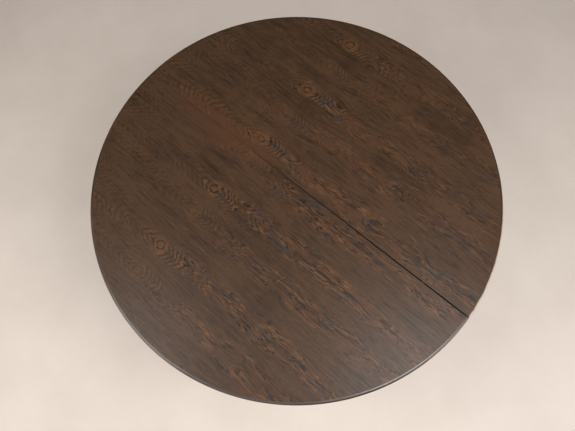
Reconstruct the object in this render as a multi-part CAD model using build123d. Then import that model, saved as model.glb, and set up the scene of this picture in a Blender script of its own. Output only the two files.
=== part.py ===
from build123d import *
import math
import os

# Round extension table on a pedestal. The top is split in two halves that draw apart on hardwood
# slides, and a rack and pinion keeps them moving by the same amount.
# Millimetres, +Z up, origin on the floor under the middle of the table.
# The joint between the halves runs along X. The front half is at -Y and the back half at +Y.

# ---- driving dimensions ----
table_height = 740.0
top_radius = 600.0
top_thickness = 24.0
half_travel = 250.0

veneer = 0.6            # face and backing veneer
band = 8.0              # solid edge band round the rim
band_round = 6.5        # rounding of the rim's upper edge
band_chamfer = 1.5      # small chamfer under the rim
lipping = 4.0           # solid strip along the joint between the halves
leaf_joint = 0.04       # glue line between two leaves of face veneer
front_leaves = (94.0, 112.0)  # width of the leaf at the joint, then of each leaf after it
back_leaves = (105.0, 109.0)

joint_gap_closed = 0.12  # where the halves touch
joint_gap_open = 3.0     # at the +X rim, where the halves stand a little apart
joint_opens_at = -170.0  # X where the joint starts to open

apron_radius = 540.0
apron_thickness = 18.0
apron_height = 58.0
apron_end_gap = 1.5
apron_segments = 6      # curved staves glued end to end in each half

runner_x = 215.0        # middle of each fixed runner
runner_width = 30.0
runner_half_length = 345.0
groove_height = 10.0
groove_depth = 9.0
groove_stop = 326.0     # the groove ends here, which stops the slide when it is fully open

rail_width = 26.0
rail_gap = 0.5
rail_outer_end = 415.0  # end of a rail near the rim of its own half
rail_free_end = 235.0   # end of a rail under the other half
rail_relief = 1.8       # the free end runs this much below the other half
tongue_height = 9.6
tongue_depth = 8.0
tongue_start = 75.0

bearer_y = 200.0
bearer_width = 60.0
bearer_height = 28.0
bearer_half_length = 262.0

head_beam_width = 100.0
head_beam_height = 32.0
head_beam_half_length = 236.0

gear_module = 2.0
pinion_teeth = 24
pressure_angle = math.radians(20)
gear_thickness = 12.0
backlash = 0.16
rack_back = 40.0        # X of the rack's plain side
rack_anchor_end = 200.0
rack_free_end = 290.0

column_foot_radius = 84.0
column_waist_radius = 50.0
column_head_radius = 66.0
disc_radius = 98.0
disc_height = 16.0
cap_radius = 84.0
cap_height = 14.0

foot_reach = 430.0
foot_width = 76.0
foot_tip_width = 54.0
foot_root_height = 64.0
foot_tip_height = 27.0
glide_height = 8.0
glide_radius = 15.0
glide_reach = 398.0

lock_x = 380.0
lock_pivot_y = -50.0
lock_stud_y = 25.0
pin_places = (-450.0, -150.0, 150.0, 450.0)

# ---- levels worked out from the driving dimensions ----
top_under = table_height - top_thickness
runner_top = top_under - 2.0
bearer_top = top_under - 40.0
rail_bottom = bearer_top + 2.0
slide_middle = bearer_top + 21.0
bearer_bottom = bearer_top - bearer_height
head_beam_bottom = bearer_bottom - head_beam_height
cap_bottom = head_beam_bottom - cap_height
foot_top = glide_height + foot_root_height
disc_top = foot_top + disc_height
bridge_top = bearer_top + 12.0
gear_bottom = bridge_top + 1.0
gear_top = gear_bottom + gear_thickness
pitch_radius = gear_module * pinion_teeth / 2
slop = 0.1              # radial room round a screw, pin or bolt in wood


def block(x0, x1, y0, y1, z0, z1):
    """A box from its corners."""
    size = Box(x1 - x0, y1 - y0, z1 - z0)
    return Pos((x0 + x1) / 2, (y0 + y1) / 2, (z0 + z1) / 2) * size


def post(x, y, z0, z1, radius):
    """An upright cylinder."""
    return Pos(x, y, (z0 + z1) / 2) * Cylinder(radius, z1 - z0)


def peg(x, z, y0, y1, radius):
    """A cylinder lying along Y."""
    return Pos(x, (y0 + y1) / 2, z) * Rot(90, 0, 0) * Cylinder(radius, y1 - y0)


def prism(points, z0, z1):
    """A flat outline given as (x, y) points, from one level to another."""
    return Pos(0, 0, z0) * extrude(make_face(Polyline(*points, close=True)), z1 - z0)


def turned(points):
    """A solid turned about Z from (radius, z) points, joined by straight lines."""
    outline = Polyline(*[(r, 0, z) for r, z in points], close=True)
    return revolve(make_face(outline), Axis.Z)


def half_turn(shape):
    """The same piece on the other half of the table."""
    return Rot(0, 0, 180) * shape


def group(shapes):
    """Separate solids that share a node."""
    return Compound(children=[solid for shape in shapes for solid in shape.solids()])


def save(name, shape):
    export_step(shape, f"parts/{name}.step")


# ---- fasteners ----
def pan_screw(x, y, z_seat, length, radius, head_radius, head_height):
    """A wood screw driven upwards: its head hangs under z_seat."""
    shank = post(x, y, z_seat, z_seat + length - 2 * radius, radius)
    tip = Pos(x, y, z_seat + length - radius) * Cone(radius, 0.3, 2 * radius)
    head = fillet(post(x, y, z_seat - head_height, z_seat, head_radius).edges().sort_by(Axis.Z)[0], 1.2)
    slot = block(x - 0.6, x + 0.6, y - head_radius, y + head_radius,
                 z_seat - head_height - 1, z_seat - head_height + 1.3)
    return head + shank + tip - slot


def screw_room(x, y, z_seat, length, radius, head_radius, mouth):
    """The hole for a pan screw: a counterbore from mouth up to z_seat, then a pilot hole."""
    counterbore = post(x, y, mouth, z_seat, head_radius + slop)
    return counterbore + post(x, y, z_seat, z_seat + length + 0.5, radius + slop)


def hexagon(x, y, z0, z1, across_flats):
    """A six-sided prism, as a nut or a bolt head."""
    flat = RegularPolygon(across_flats / 2, 6, major_radius=False)
    return Pos(x, y, z0) * extrude(flat, z1 - z0)


def nut(x, y, z0, z1, across_flats, hole_radius):
    return hexagon(x, y, z0, z1, across_flats) - post(x, y, z0, z1, hole_radius)


def washer(x, y, z0, z1, radius, hole_radius):
    return post(x, y, z0, z1, radius) - post(x, y, z0, z1, hole_radius)


# ---- pedestal ----
def tie_rod_hole(z0, z1):
    return post(0, 0, z0, z1, 6 + slop)


def foot_beam():
    """One of the two crossed beams of the foot, along X, before the halving is cut."""
    low, high = glide_height, foot_top
    tip = low + foot_tip_height
    flat_end = disc_radius + 6
    arch_end = foot_reach - 62
    top_left = Bezier((-flat_end, 0, high), (-flat_end - 70, 0, high - 22),
                      (-foot_reach + 150, 0, tip + 6), (-foot_reach, 0, tip))
    top_right = Bezier((foot_reach, 0, tip), (foot_reach - 150, 0, tip + 6),
                       (flat_end + 70, 0, high - 22), (flat_end, 0, high))
    outline = [
        Line((foot_reach, 0, low), (foot_reach, 0, tip)),
        top_right,
        Line((flat_end, 0, high), (-flat_end, 0, high)),
        top_left,
        Line((-foot_reach, 0, tip), (-foot_reach, 0, low)),
        Line((-foot_reach, 0, low), (-arch_end, 0, low)),
        ThreePointArc((-arch_end, 0, low), (0, 0, low + 9), (arch_end, 0, low)),
        Line((arch_end, 0, low), (foot_reach, 0, low)),
    ]
    side = extrude(make_face(outline), foot_width / 2, both=True)
    half_root, half_tip = foot_width / 2, foot_tip_width / 2
    straight = foot_reach - 16
    plan_outline = [
        Polyline((straight, -half_tip), (flat_end, -half_root),
                 (-flat_end, -half_root), (-straight, -half_tip)),
        ThreePointArc((-straight, -half_tip), (-foot_reach, 0), (-straight, half_tip)),
        Polyline((-straight, half_tip), (-flat_end, half_root),
                 (flat_end, half_root), (straight, half_tip)),
        ThreePointArc((straight, half_tip), (foot_reach, 0), (straight, -half_tip)),
    ]
    beam = side & extrude(make_face(plan_outline), foot_top + 5)
    top_edges = [e for e in beam.edges()
                 if e.center().Z > tip - 1 and e.length > 30 and abs(abs(e.center().Y)) > half_tip - 2
                 and e.geom_type != GeomType.LINE]
    return fillet(top_edges, 3.5)


def glide_places():
    return [(glide_reach, 0), (0, glide_reach), (-glide_reach, 0), (0, -glide_reach)]


def dowel_places():
    """(x, y, z of the face between two pieces) for the dowels that stop the stack from turning."""
    foot = [(60, 0), (-60, 0), (0, 60), (0, -60)]
    lower = [(42, 42), (-42, -42)]
    upper = [(30, 30), (-30, -30)]
    head = [(34, 48), (-34, -48)]
    stack = [(foot_top, foot), (disc_top, lower), (cap_bottom, upper), (head_beam_bottom, head)]
    return [(x, y, level) for level, places in stack for x, y in places]


dowel_radius = 5.0
dowel_reach = 10.0       # each side of the face


def dowels():
    return [chamfer(post(x, y, z - dowel_reach, z + dowel_reach, dowel_radius).edges(), 0.8)
            for x, y, z in dowel_places()]


def dowel_holes(z0, z1):
    """Holes for every dowel end that lies between two levels."""
    return [post(x, y, z - dowel_reach - 0.5, z + dowel_reach + 0.5, dowel_radius + slop)
            for x, y, z in dowel_places() if z0 - 0.5 <= z <= z1 + 0.5]


def drill(piece, holes):
    for hole in holes:
        piece = piece - hole
    return piece


rod_bottom = glide_height + 14.0
rod_top = head_beam_bottom + head_beam_height - 2.0
rod_nut = 10.0
rod_washer = 2.5


def make_foot():
    whole = foot_beam()
    half_width = foot_width / 2
    halving = glide_height + foot_root_height / 2
    lower = whole - block(-half_width, half_width, -60, 60, halving, foot_top + 10)
    upper = Rot(0, 0, 90) * (whole - block(-half_width, half_width, -60, 60, 0, halving))
    nut_pocket = post(0, 0, 0, rod_bottom + rod_nut + rod_washer + 1, 15)
    glide_holes = [post(x, y, glide_height - 1, glide_height + 22, 2 + slop) for x, y in glide_places()]
    rod_hole = tie_rod_hole(0, foot_top + 5)
    lower = drill(lower, [nut_pocket, rod_hole, *glide_holes, *dowel_holes(foot_top, foot_top)])
    upper = drill(upper, [rod_hole, *glide_holes, *dowel_holes(foot_top, foot_top)])
    save("foot_beam_lower", lower)
    save("foot_beam_upper", upper)


def make_glides():
    glides, screws = [], []
    for x, y in glide_places():
        disc = post(x, y, 0, glide_height, glide_radius)
        disc = fillet(disc.edges().sort_by(Axis.Z)[0], 2.5)
        disc = disc - post(x, y, 0, 4, 5) - post(x, y, 0, glide_height, 2 + slop)
        glides.append(disc)
        screws.append(pan_screw(x, y, 4, 24, 2, 4.4, 2.2))
    save("foot_glides", group(glides))
    save("glide_screws", group(screws))


def make_column():
    disc = post(0, 0, foot_top, disc_top, disc_radius)
    disc = fillet(disc.edges().sort_by(Axis.Z)[-1], 7)
    disc = drill(disc, [tie_rod_hole(foot_top, disc_top), *dowel_holes(foot_top, disc_top)])
    save("base_disc", disc)

    waist = disc_top + (cap_bottom - disc_top) * 0.62
    profile = [
        Line((0, 0, disc_top), (column_foot_radius, 0, disc_top)),
        Line((column_foot_radius, 0, disc_top), (column_foot_radius, 0, disc_top + 10)),
        Spline((column_foot_radius - 5, 0, disc_top + 13), (column_waist_radius + 9, 0, disc_top + 120),
               (column_waist_radius, 0, waist), (column_head_radius - 4, 0, cap_bottom - 9),
               tangents=((-0.55, 0, 1), (0.5, 0, 1))),
        Line((column_foot_radius, 0, disc_top + 10), (column_foot_radius - 5, 0, disc_top + 13)),
        Line((column_head_radius - 4, 0, cap_bottom - 9), (column_head_radius, 0, cap_bottom - 7)),
        Line((column_head_radius, 0, cap_bottom - 7), (column_head_radius, 0, cap_bottom)),
        Line((column_head_radius, 0, cap_bottom), (0, 0, cap_bottom)),
        Line((0, 0, cap_bottom), (0, 0, disc_top)),
    ]
    column = revolve(make_face(profile), Axis.Z)
    column = drill(column, [tie_rod_hole(disc_top, cap_bottom), *dowel_holes(disc_top, cap_bottom)])
    save("column", column)

    cap = post(0, 0, cap_bottom, head_beam_bottom, cap_radius)
    cap = chamfer(cap.edges().sort_by(Axis.Z)[0], 5)
    cap = drill(cap, [tie_rod_hole(cap_bottom, head_beam_bottom), *dowel_holes(cap_bottom, head_beam_bottom)])
    save("column_cap", cap)
    save("column_dowels", group(dowels()))


def make_tie_rod():
    rod = chamfer(post(0, 0, rod_bottom, rod_top, 6).edges(), 1)
    low_washer = rod_bottom + rod_nut + 1
    high_washer = rod_top - rod_nut - 1 - rod_washer
    washers = [
        washer(0, 0, low_washer, low_washer + rod_washer, 14, 6.3),
        washer(0, 0, high_washer, high_washer + rod_washer, 14, 6.3),
    ]
    nuts = [
        nut(0, 0, low_washer - rod_nut, low_washer, 19, 6.02),
        nut(0, 0, high_washer + rod_washer, high_washer + rod_washer + rod_nut, 19, 6.02),
    ]
    save("tie_rod", rod)
    save("tie_rod_washers", group(washers))
    save("tie_rod_nuts", group(nuts))


# ---- head frame ----
def bolt_places():
    return [(x, y) for y in (-bearer_y, bearer_y) for x in (-28.0, 28.0)]


def make_head_beam():
    reach, half_width = head_beam_half_length, head_beam_width / 2
    outline = [(-reach, head_beam_bottom + 12), (-reach + 60, head_beam_bottom),
               (reach - 60, head_beam_bottom), (reach, head_beam_bottom + 12),
               (reach, bearer_bottom), (-reach, bearer_bottom)]
    side = prism(outline, -half_width, half_width)
    beam = Rot(0, 0, 90) * Rot(90, 0, 0) * side
    beam = chamfer(beam.edges().filter_by(Axis.Y).group_by(Axis.Z)[0], 3)
    nut_seat = rod_top - rod_nut - 1 - rod_washer
    bolts = [post(x, y, head_beam_bottom - 1, bearer_bottom + 1, 4 + slop) for x, y in bolt_places()]
    beam = drill(beam, [
        tie_rod_hole(head_beam_bottom - 1, bearer_bottom + 1),
        post(0, 0, nut_seat, bearer_bottom + 1, 15),
        *bolts, *dowel_holes(head_beam_bottom, head_beam_bottom),
    ])
    save("head_beam", beam)


def runner_screw_places(y):
    return [(side * runner_x, y + step) for side in (-1, 1) for step in (-15.0, 15.0)]


bridge_half_width = 46.0
bridge_half_length = 228.0
bridge_screw_x = 34.0


def make_bearer(name, y):
    reach, half_width = bearer_half_length, bearer_width / 2
    outline = [(-reach, bearer_bottom + 12), (-reach + 90, bearer_bottom), (reach - 90, bearer_bottom),
               (reach, bearer_bottom + 12), (reach, bearer_top), (-reach, bearer_top)]
    bearer = Pos(0, y, 0) * Rot(90, 0, 0) * prism(outline, -half_width, half_width)
    bearer = chamfer(bearer.edges().filter_by(Axis.X).group_by(Axis.Z)[0], 3)
    holes = []
    for x, at in bolt_places():
        if at == y:
            holes.append(post(x, at, bearer_bottom - 1, bearer_top + 1, 4 + slop))
            holes.append(post(x, at, bearer_top - 6.5, bearer_top + 1, 10.5))
    for x, at in runner_screw_places(y):
        holes.append(screw_room(x, at, bearer_bottom + 12, 32, 2.4, 4.8, bearer_bottom - 1))
    for x in (-bridge_screw_x, bridge_screw_x):
        holes.append(post(x, math.copysign(218, y), bearer_top - 22, bearer_top + 1, 2 + slop))
    save(name, drill(bearer, holes))


def make_bearer_bolts():
    bolts, nuts = [], []
    for x, y in bolt_places():
        shank = post(x, y, head_beam_bottom - 14, bearer_top - 3.4, 4)
        head = fillet(post(x, y, bearer_top - 5.4, bearer_top - 1.4, 9).edges().sort_by(Axis.Z)[-1], 3)
        bolts.append(shank + head)
        nuts.append(washer(x, y, head_beam_bottom - 1.6, head_beam_bottom, 9, 4.2))
        nuts.append(nut(x, y, head_beam_bottom - 8.1, head_beam_bottom - 1.6, 13, 4.02))
    save("bearer_bolts", group(bolts))
    save("bearer_nuts", group(nuts))


def make_runner(name, x):
    half = runner_width / 2
    low, high = slide_middle - groove_height / 2, slide_middle + groove_height / 2
    body = block(x - half, x + half, -runner_half_length, runner_half_length, bearer_top, runner_top)
    outer = math.copysign(1, x)
    # The front half's rail runs at the larger X of each pair, and its groove is stopped towards -Y.
    open_end = runner_half_length + 1
    front_groove = block(x + half - groove_depth, x + half + 1, -groove_stop, open_end, low, high)
    back_groove = block(x - half - 1, x - half + groove_depth, -open_end, groove_stop, low, high)
    body = body - front_groove - back_groove
    ends = body.edges().filter_by(Axis.X).group_by(Axis.Y)
    body = chamfer([e for e in ends[0] + ends[-1] if e.center().Z > runner_top - 1], 2)
    holes = [screw_room(sx, sy, bearer_bottom + 12, 32, 2.4, 4.8, bearer_bottom - 1)
             for y in (-bearer_y, bearer_y) for sx, sy in runner_screw_places(y) if sx * outer > 0]
    save(name, drill(body, holes))


def make_runner_screws():
    places = [p for y in (-bearer_y, bearer_y) for p in runner_screw_places(y)]
    save("runner_screws", group([pan_screw(x, y, bearer_bottom + 12, 32, 2.4, 4.7, 3.2) for x, y in places]))


def make_bridge():
    bridge = block(-bridge_half_width, bridge_half_width, -bridge_half_length, bridge_half_length,
                   bearer_top, bridge_top)
    bridge = fillet(bridge.edges().filter_by(Axis.Z), 10)
    screws = []
    for x in (-bridge_screw_x, bridge_screw_x):
        for y in (-218.0, 218.0):
            screws.append(Pos(x, y, 0) * countersunk_screw())
            bridge = bridge - Pos(x, y, 0) * countersunk_room()
    bridge = bridge - post(0, 0, bearer_top - 1, bridge_top + 1, 5 + slop)
    save("gear_bridge", bridge)
    save("bridge_screws", group(screws))


def countersunk_screw():
    """Driven downwards into the bridge, its head flush with the bridge's top."""
    head = Pos(0, 0, bridge_top - 1.6) * Cone(2, 4, 2.6)
    shank = post(0, 0, bearer_top - 20, bridge_top - 2, 2)
    slot = block(-0.5, 0.5, -4, 4, bridge_top - 1.2, bridge_top + 1)
    return head + shank - slot


def countersunk_room():
    sink = Pos(0, 0, bridge_top - 1.6) * Cone(2 + slop, 4 + slop, 2.6)
    mouth = post(0, 0, bridge_top - 0.3, bridge_top + 1, 4 + slop)
    return sink + mouth + post(0, 0, bearer_top - 1, bridge_top, 2 + slop)


# ---- gear that keeps the halves in step ----
def tooth_half_angle(radius):
    """Half the angle that an involute tooth fills at a radius."""
    base = pitch_radius * math.cos(pressure_angle)

    def involute(r):
        roll = math.sqrt(max(0.0, (r / base) ** 2 - 1))
        return roll - math.atan(roll)

    at_pitch = math.pi / (2 * pinion_teeth) - backlash / (4 * pitch_radius)
    return at_pitch + involute(pitch_radius) - involute(max(radius, base))


def make_pinion():
    tip = pitch_radius + gear_module - 0.1
    root = pitch_radius - 1.25 * gear_module
    base = pitch_radius * math.cos(pressure_angle)
    flank = [root - 0.5, base, *[base + (tip - base) * k / 4 for k in range(1, 5)]]
    left = [(r * math.cos(tooth_half_angle(r)), r * math.sin(tooth_half_angle(r))) for r in flank]
    right = [(x, -y) for x, y in reversed(left)]
    tooth = prism(left + right, gear_bottom, gear_top)
    pinion = post(0, 0, gear_bottom, gear_top, root)
    for k in range(pinion_teeth):
        pinion = pinion + Rot(0, 0, 360 * k / pinion_teeth) * tooth
    for k in range(6):
        pinion = pinion - Rot(0, 0, 60 * k) * post(13.5, 0, gear_bottom, gear_top, 3.2)
    save("pinion", pinion - post(0, 0, gear_bottom, gear_top, 5.06))


def make_spindle():
    shank = post(0, 0, bearer_top - 12, gear_top + 0.6, 5)
    head = fillet(post(0, 0, gear_top + 0.6, gear_top + 5, 8.5).edges().sort_by(Axis.Z)[-1], 1.2)
    socket = hexagon(0, 0, gear_top + 2.4, gear_top + 6, 6)
    save("pinion_spindle", head + shank - socket)
    save("spindle_nut", group([
        washer(0, 0, bridge_top, gear_bottom - 0.2, 9, 5.2),
        washer(0, 0, bearer_top - 1.6, bearer_top, 10, 5.2),
        nut(0, 0, bearer_top - 9.6, bearer_top - 1.6, 16, 5.02),
    ]))


def front_rack():
    """The rack of the front half, on the pinion's +X side, with a gap between teeth at Y = 0."""
    pitch = math.pi * gear_module
    tip_x = pitch_radius - gear_module + 0.1
    root_x = pitch_radius + 1.25 * gear_module
    slope = math.tan(pressure_angle)
    half_pitch_line = pitch / 4 - backlash / 4
    half_tip = half_pitch_line - (pitch_radius - tip_x) * slope
    half_root = half_pitch_line + (root_x - pitch_radius) * slope
    outline = [(rack_back, rack_free_end), (rack_back, -rack_anchor_end), (root_x, -rack_anchor_end)]
    teeth = int((half_travel + 36) / pitch)
    for k in range(-3, teeth - 3):
        y = (k + 0.5) * pitch
        outline += [(root_x, y - half_root), (tip_x, y - half_tip)]
        outline += [(tip_x, y + half_tip), (root_x, y + half_root)]
    outline.append((root_x, rack_free_end))
    return prism(outline, gear_bottom, gear_top)


rack_screw_places = ((33.0, -180.0), (33.0, -70.0))


def front_rack_block():
    """Wooden packing between the rack and its half, screwed up through both."""
    return block(26, 42, -rack_anchor_end, -50, gear_top, top_under)


def front_rack_screws():
    return [pan_screw(x, y, gear_bottom + 3, 30, 2, 3.9, 2.6) for x, y in rack_screw_places]


def rack_screw_holes():
    return [screw_room(x, y, gear_bottom + 3, 30, 2, 3.9, gear_bottom - 1) for x, y in rack_screw_places]


# ---- rails ----
front_rail_places = {"outer": runner_x + (runner_width + rail_width) / 2 + rail_gap,
                     "inner": -runner_x + (runner_width + rail_width) / 2 + rail_gap}
rail_screw_ys = (-385.0, -240.0, -100.0)
rail_screw_seat = rail_bottom + 16.0
rail_screw_length = 36.0


def front_rail(x):
    """A rail of the front half, with its tongue on the -X side."""
    half = rail_width / 2
    body = block(x - half, x + half, -rail_outer_end, rail_free_end, rail_bottom, top_under)
    body = body - block(x - half, x + half, -12, rail_free_end, top_under - rail_relief, top_under)
    tongue = block(x - half - tongue_depth, x - half, -tongue_start, rail_free_end,
                   slide_middle - tongue_height / 2, slide_middle + tongue_height / 2)
    body = chamfer(body.edges().filter_by(Axis.Y).group_by(Axis.Z)[0], 2)
    body = body + tongue
    return drill(body, [rail_screw_hole(x, y) for y in rail_screw_ys])


def rail_screw_hole(x, y):
    return screw_room(x, y, rail_screw_seat, rail_screw_length, 2.2, 4.7, rail_bottom - 1)


def front_rail_screws():
    return [pan_screw(x, y, rail_screw_seat, rail_screw_length, 2.2, 4.6, 3.2)
            for x in front_rail_places.values() for y in rail_screw_ys]


# ---- the two halves of the top ----
far = top_radius + 100


def gap_at(x):
    """How far the back half's joint face stands from Y = 0."""
    if x <= joint_opens_at:
        return joint_gap_closed
    share = (x - joint_opens_at) / (top_radius - joint_opens_at)
    return joint_gap_closed + share * (joint_gap_open - joint_gap_closed)


def front_region(inset, z0, z1):
    return prism([(-far, -far), (far, -far), (far, -inset), (-far, -inset)], z0, z1)


def back_region(inset, z0, z1):
    return prism([(-far, inset + gap_at(-far)), (joint_opens_at, inset + joint_gap_closed),
                  (far, inset + gap_at(far)), (far, far), (-far, far)], z0, z1)


def edge_ring():
    """The solid band round the whole top, rounded above and chamfered below."""
    inner = top_radius - band
    bend = band_round * (1 - math.sqrt(0.5))
    outline = [
        Line((inner, 0, top_under), (top_radius - band_chamfer, 0, top_under)),
        Line((top_radius - band_chamfer, 0, top_under), (top_radius, 0, top_under + band_chamfer)),
        Line((top_radius, 0, top_under + band_chamfer), (top_radius, 0, table_height - band_round)),
        ThreePointArc((top_radius, 0, table_height - band_round), (top_radius - bend, 0, table_height - bend),
                      (top_radius - band_round, 0, table_height)),
        Line((top_radius - band_round, 0, table_height), (inner, 0, table_height)),
        Line((inner, 0, table_height), (inner, 0, top_under)),
    ]
    return revolve(make_face(outline), Axis.Z)


def pin_hole(x, y0, y1, radius):
    return peg(x, table_height - top_thickness / 2, y0, y1, radius)


def make_half(name, region, pin_holes, screw_holes):
    low_core, high_core = top_under + veneer, table_height - veneer
    inside = top_radius - band

    def panel(z0, z1):
        return post(0, 0, z0, z1, inside) & region(lipping, z0, z1)

    core = drill(panel(low_core, high_core), [*pin_holes, *screw_holes])
    backing = drill(panel(top_under, low_core), screw_holes)
    sign, (first, width) = (-1, front_leaves) if name == "front" else (1, back_leaves)
    joints = [0] + [first + k * width for k in range(math.ceil((top_radius - first) / width) + 1)]
    leaves = []
    for near, away in zip(joints, joints[1:]):
        y0, y1 = sorted((sign * (near + leaf_joint / 2), sign * (away - leaf_joint / 2)))
        strip = block(-far, far, y0, y1, high_core - 1, table_height + 1)
        leaves.append(panel(high_core, table_height) & strip)
    strip = post(0, 0, top_under, table_height, inside) & region(0, top_under, table_height)
    strip = strip - region(lipping, top_under, table_height)
    along = [e for e in strip.edges() if e.length > 300 and abs(e.center().Y) < lipping / 2 + 1
             and e.center().Z > table_height - 0.1]
    strip = chamfer(along, 0.5)
    save(f"{name}_core", core)
    save(f"{name}_backing_veneer", backing)
    save(f"{name}_face_veneer", group(leaves))
    save(f"{name}_edge_band", edge_ring() & region(0, top_under - 1, table_height + 1))
    save(f"{name}_joint_lipping", drill(strip, pin_holes))


def front_apron():
    """Curved staves glued end to end, from one end of the joint round to the other."""
    bottom = top_under - apron_height
    ring = post(0, 0, bottom, top_under, apron_radius)
    ring = ring - post(0, 0, bottom, top_under, apron_radius - apron_thickness)
    arcs = [e for e in ring.edges() if e.length > 500 and e.center().Z < bottom + 0.1]
    ring = chamfer(arcs, 2) & front_region(apron_end_gap, bottom - 1, top_under + 1)
    span = math.radians(180 / apron_segments)
    staves = []
    for k in range(apron_segments):
        start, end = -math.pi + k * span, -math.pi + (k + 1) * span
        wedge = [(0, 0), (far * math.cos(start), far * math.sin(start)),
                 (far * math.cos(end), far * math.sin(end))]
        staves.append(ring & prism(wedge, bottom - 1, top_under + 1))
    return group(staves)


def front_apron_blocks():
    """Glue blocks in the corner between the apron and the top, behind each joint of the staves."""
    inner = apron_radius - apron_thickness
    keep = post(0, 0, top_under - 40, top_under, inner)
    step = 180 / apron_segments
    blocks = []
    for angle in (-174, *[-180 + k * step for k in range(1, apron_segments)], -6):
        piece = block(inner - 30, inner + 5, -25, 25, top_under - 40, top_under)
        piece = chamfer(piece.edges().filter_by(Axis.Y).group_by(Axis.Z)[0].sort_by(Axis.X)[0], 14)
        blocks.append((Rot(0, 0, angle) * piece) & keep)
    return blocks


def make_slides():
    """Rails, racks and aprons: those of the back half are the front half's, turned half round."""
    rack = drill(front_rack(), rack_screw_holes())
    rack_block = drill(front_rack_block(), rack_screw_holes())
    pieces = {
        "apron": front_apron(),
        "apron_blocks": group(front_apron_blocks()),
        "rail_outer": front_rail(front_rail_places["outer"]),
        "rail_inner": front_rail(front_rail_places["inner"]),
        "slide_screws": group(front_rail_screws() + front_rack_screws()),
        "rack": rack,
        "rack_block": rack_block,
    }
    for name, piece in pieces.items():
        save(f"front_{name}", piece)
        save(f"back_{name}", half_turn(piece))


def make_pins():
    level = table_height - top_thickness / 2
    pins, bushes = [], []
    for x in pin_places:
        pin = peg(x, level, -26, 14, 5)
        pins.append(fillet(pin.edges().sort_by(Axis.Y)[-1], 2.5))
        face = gap_at(x) + 0.3
        bushes.append(peg(x, level, face, face + 20, 7) - peg(x, level, face - 1, face + 21, 5.4))
    save("alignment_pins", group(pins))
    save("pin_bushes", group(bushes))


# ---- catches that hold the halves together ----
plate_thickness = 2.0
lever_top = top_under - 5.4
lever_bottom = lever_top - 4.0
lever_reach = lock_stud_y - lock_pivot_y
hook_radius = 20.0
hook_slot = 7.5         # half the width of the slot that takes the stud
pivot_radius = 4.0
stud_radius = 5.0
plate_screws_x = 22.0


def lock_screw(x, y):
    return pan_screw(x, y, top_under - plate_thickness, 16, 1.6, 3.2, 1.8)


def plate_with_holes(x0, x1, y0, y1, screws):
    plate = block(x0, x1, y0, y1, top_under - plate_thickness, top_under)
    plate = fillet(plate.edges().filter_by(Axis.Z), 5)
    return drill(plate, [post(x, y, top_under - 3, top_under + 1, 1.6 + slop) for x, y in screws])


def front_lock_screw_places(x):
    return [(x + dx, lock_pivot_y + dy) for dx in (-plate_screws_x, plate_screws_x) for dy in (-18.0, 18.0)]


def back_lock_screw_places(x):
    return [(x + dx, lock_stud_y) for dx in (-plate_screws_x, plate_screws_x)]


def lever(x, sign):
    """The hook lever, pointing towards the middle of the table. It swings by 90 degrees to the stud."""
    eye = Pos(0, 0) * Circle(11)
    hook = Pos(lever_reach, 0) * Circle(hook_radius)
    arm = make_face(Polyline((0, -9), (lever_reach, -8), (lever_reach, 8), (0, 9), close=True))
    ring = Circle(lever_reach + hook_slot) - Circle(lever_reach - hook_slot)
    wedge = Polyline((0, 0), (2 * lever_reach, 0), (2 * lever_reach, lever_reach), close=True)
    mouth = ring & make_face(wedge)
    flat = (eye + hook + arm) - (Pos(lever_reach, 0) * Circle(hook_slot)) - mouth
    flat = flat - Circle(pivot_radius + 0.06)
    plate = Pos(0, 0, lever_bottom) * extrude(flat, lever_top - lever_bottom)
    plate = plate if sign < 0 else mirror(plate, about=Plane.YZ)
    return Pos(x, lock_pivot_y, 0) * plate


def make_locks():
    plates, pivots, front_screws, keepers, back_screws = [], [], [], [], []
    for name, sign in (("left", -1), ("right", 1)):
        x = sign * lock_x
        front_places, back_places = front_lock_screw_places(x), back_lock_screw_places(x)
        plates.append(plate_with_holes(x - 30, x + 30, lock_pivot_y - 28, lock_pivot_y + 28, front_places))
        boss = post(x, lock_pivot_y, lever_top + 0.3, top_under - plate_thickness, 8)
        shank = post(x, lock_pivot_y, lever_bottom - 0.3, lever_top + 0.3, pivot_radius)
        head = post(x, lock_pivot_y, lever_bottom - 2.8, lever_bottom - 0.3, 7)
        pivots.append(boss + shank + fillet(head.edges().sort_by(Axis.Z)[0], 1.5))
        front_screws += [lock_screw(*place) for place in front_places]
        keeper = plate_with_holes(x - 30, x + 30, lock_stud_y - 12, lock_stud_y + 12, back_places)
        stud = post(x, lock_stud_y, lever_bottom - 2, top_under - plate_thickness, stud_radius)
        cap = fillet(post(x, lock_stud_y, lever_bottom - 4.5, lever_bottom - 2, 9).edges(), 1)
        keepers += [keeper, stud, cap]
        back_screws += [lock_screw(*place) for place in back_places]
        save(f"lock_lever_{name}", lever(x, sign))
        knob_x = x - sign * 40
        knob = turned([(0, lever_bottom), (5, lever_bottom), (4.2, lever_bottom - 5), (7, lever_bottom - 10),
                       (7, lever_bottom - 14), (5, lever_bottom - 16.5), (0, lever_bottom - 17)])
        save(f"lock_knob_{name}", Pos(knob_x, lock_pivot_y, 0) * knob)
    save("lock_plates", group(plates))
    save("lock_pivots", group(pivots))
    save("lock_plate_screws", group(front_screws))
    save("lock_keepers", group(keepers))
    save("keeper_screws", group(back_screws))


def lock_holes(places_for):
    return [post(x, y, top_under - 1, top_under + 14.5, 1.6 + slop)
            for sign in (-1, 1) for x, y in places_for(sign * lock_x)]


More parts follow.
